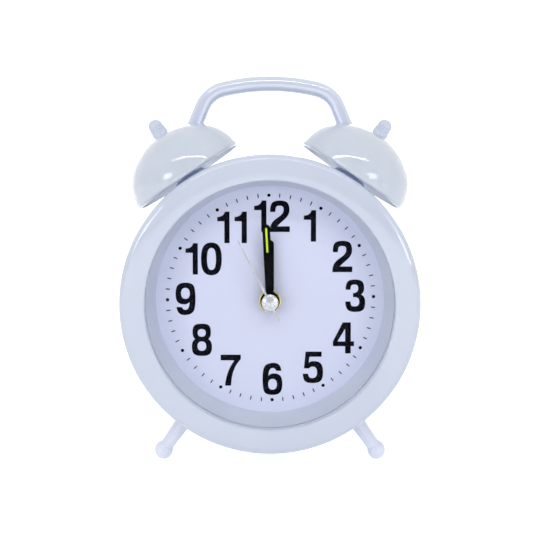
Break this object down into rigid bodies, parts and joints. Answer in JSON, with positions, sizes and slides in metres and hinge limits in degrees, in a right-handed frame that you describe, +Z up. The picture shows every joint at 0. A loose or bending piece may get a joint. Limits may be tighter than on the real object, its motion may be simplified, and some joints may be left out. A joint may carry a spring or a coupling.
{
  "type": "twin-bell alarm clock",
  "caption": "Free-standing twin-bell quartz alarm clock with a round case, bail handle, ball feet, setting knobs, alarm slide and battery door.",
  "frame": {"origin": "on the table, under the middle of the clock's bounding box", "axes": "+Z up, -Y is the way the dial faces, +X to the right as seen from the front"},
  "size_m": [0.12, 0.052, 0.1614],
  "materials": {
    "case_paint": "smooth glossy white plastic with a faint cool cast",
    "lens": "clear, polished",
    "cone_ring": "smooth moulded, silver-blue",
    "dial": "matt print on a pale ground",
    "back_plastic": "fine moulded texture",
    "knob_plastic": "moulded grip",
    "black_hand": "satin black",
    "luminous": "luminous fill",
    "brass": "turned brass",
    "silver_hand": "bright plated",
    "movement_plastic": "moulded acetal",
    "magnet": "sintered magnet with moulded pinion",
    "soft_iron": "annealed sheet",
    "coil_wire": "enamelled copper wire",
    "board": "printed circuit board",
    "steel": "zinc plated",
    "contact_metal": "nickel plated spring strip",
    "buzzer_brass": "brass disc with ceramic",
    "cell": "plain wrapped cell"
  },
  "bodies": {
    "case": {"bezel": "case_paint", "case_drum": "case_paint", "bell_left": "case_paint", "bell_right": "case_paint", "bell_post_left": "case_paint", "bell_post_right": "case_paint", "finial_left": "case_paint", "finial_right": "case_paint", "handle": "case_paint", "foot_left": "case_paint", "foot_right": "case_paint", "rear_foot": "case_paint", "lens": "lens", "cone_ring": "cone_ring", "dial": "dial", "back_cover": "back_plastic", "movement_front_plate": "movement_plastic", "middle_plate": "movement_plastic", "movement_back_shell": "movement_plastic", "dial_carrier": "movement_plastic", "stator": "soft_iron", "coil_core": "soft_iron", "drive_coil": "coil_wire", "circuit_board": "board", "case_screws": "steel", "movement_screws": "steel", "mounting_screws": "steel", "bell_nuts": "steel", "handle_nuts": "steel", "quartz_crystal": "steel", "negative_contact": "contact_metal", "positive_contact": "contact_metal", "buzzer_pins": "contact_metal", "buzzer": "buzzer_brass", "battery": "cell"},
    "minute": {"minute_hand": "black_hand", "minute_hand_strip": "luminous", "cannon_pinion": "movement_plastic"},
    "hour": {"hour_hand": "black_hand", "hour_hand_strip": "luminous", "hour_hand_collet": "brass", "hour_wheel": "movement_plastic"},
    "alarm": {"alarm_hand": "black_hand", "alarm_wheel": "movement_plastic"},
    "second": {"second_hand": "silver_hand", "second_hand_boss": "silver_hand", "second_wheel": "movement_plastic"},
    "motion": {"motion_wheel": "brass"},
    "intermediate": {"intermediate_wheel": "brass"},
    "rotor": {"rotor": "magnet"},
    "time_setting": {"time_knob": "knob_plastic", "time_set_arbor": "movement_plastic"},
    "alarm_setting": {"alarm_knob": "knob_plastic", "alarm_set_arbor": "movement_plastic"},
    "alarm_slide": {"alarm_switch": "back_plastic"},
    "battery_door": {"battery_door": "back_plastic"}
  },
  "joints": [
    {"name": "time_knob_turn", "type": "hinge", "parent": "case", "child": "time_setting", "pos_m": [-0.01819, 0, 0.06226], "axis": [0, 1, 0], "continuous": true},
    {"name": "minute_hand_turn", "type": "hinge", "parent": "case", "child": "minute", "pos_m": [0, 0, 0.068], "axis": [0, 1, 0], "continuous": true},
    {"name": "motion_wheel_turn", "type": "hinge", "parent": "case", "child": "motion", "pos_m": [-0.00819, 0, 0.06226], "axis": [0, 1, 0], "continuous": true},
    {"name": "hour_hand_turn", "type": "hinge", "parent": "case", "child": "hour", "pos_m": [0, 0, 0.068], "axis": [0, 1, 0], "continuous": true},
    {"name": "alarm_knob_turn", "type": "hinge", "parent": "case", "child": "alarm_setting", "pos_m": [0.016, 0, 0.06227], "axis": [0, 1, 0], "continuous": true},
    {"name": "alarm_hand_turn", "type": "hinge", "parent": "case", "child": "alarm", "pos_m": [0, 0, 0.068], "axis": [0, 1, 0], "continuous": true},
    {"name": "rotor_turn", "type": "hinge", "parent": "case", "child": "rotor", "pos_m": [0.00863, 0, 0.07855], "axis": [0, 1, 0], "continuous": true},
    {"name": "intermediate_wheel_turn", "type": "hinge", "parent": "case", "child": "intermediate", "pos_m": [0.00257, 0, 0.07505], "axis": [0, 1, 0], "continuous": true},
    {"name": "second_hand_turn", "type": "hinge", "parent": "case", "child": "second", "pos_m": [0, 0, 0.068], "axis": [0, 1, 0], "continuous": true},
    {"name": "alarm_switch_slide", "type": "slide", "parent": "case", "child": "alarm_slide", "axis": [1, 0, 0], "range_m": [0, 0.004]},
    {"name": "battery_door_pull", "type": "slide", "parent": "case", "child": "battery_door", "axis": [0, 1, 0], "range_m": [0, 0.03]}
  ],
  "couplings": [
    {"joint": "minute_hand_turn", "follows": "time_knob_turn", "ratio": 1},
    {"joint": "motion_wheel_turn", "follows": "time_knob_turn", "ratio": -0.33333},
    {"joint": "hour_hand_turn", "follows": "time_knob_turn", "ratio": 0.083333},
    {"joint": "alarm_hand_turn", "follows": "alarm_knob_turn", "ratio": -1.125},
    {"joint": "intermediate_wheel_turn", "follows": "rotor_turn", "ratio": -0.16667},
    {"joint": "second_hand_turn", "follows": "rotor_turn", "ratio": 0.033333}
  ]
}
